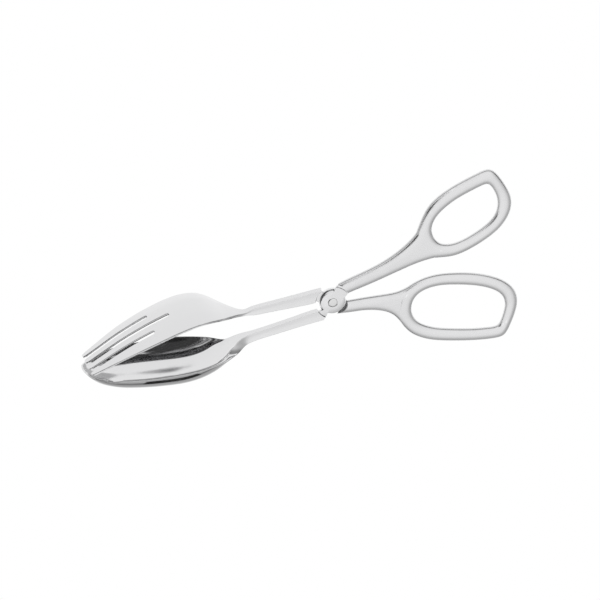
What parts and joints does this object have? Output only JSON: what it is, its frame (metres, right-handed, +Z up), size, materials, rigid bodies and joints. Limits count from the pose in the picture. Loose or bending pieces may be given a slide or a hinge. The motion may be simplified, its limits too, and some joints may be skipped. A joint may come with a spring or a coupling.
{
  "type": "serving tongs",
  "caption": "Scissor-type salad tongs in polished stainless steel: a serving spoon and a tined fork on crossed arms with finger loops, half-lapped on a rivet.",
  "frame": {"origin": "centre of the bounding box at the surface that the tongs lie on, with the jaws closed", "axes": "+X along the tongs from the heads to the finger loops, +Y from the spoon side to the fork side, +Z up from the surface, 5.94 degrees from the rivet's axis"},
  "size_m": [0.2482, 0.103, 0.0461],
  "materials": {
    "polished_steel": "mirror-polished stainless steel",
    "rivet_steel": "peened and buffed stainless steel"
  },
  "bodies": {
    "spoon_arm": {"spoon_bowl": "polished_steel", "spoon_neck": "polished_steel", "spoon_shank": "polished_steel", "spoon_lap_disc": "polished_steel", "thumb_loop": "polished_steel", "pivot_rivet": "rivet_steel"},
    "fork_arm": {"fork_head": "polished_steel", "fork_neck": "polished_steel", "fork_shank": "polished_steel", "fork_lap_disc": "polished_steel", "finger_loop": "polished_steel"}
  },
  "joints": [
    {"name": "pivot", "type": "hinge", "parent": "spoon_arm", "child": "fork_arm", "pos_m": [0.01748, -0.00374, 0.01287], "axis": [-0.1035, 0, -0.9946], "range_deg": [0, 50]}
  ]
}
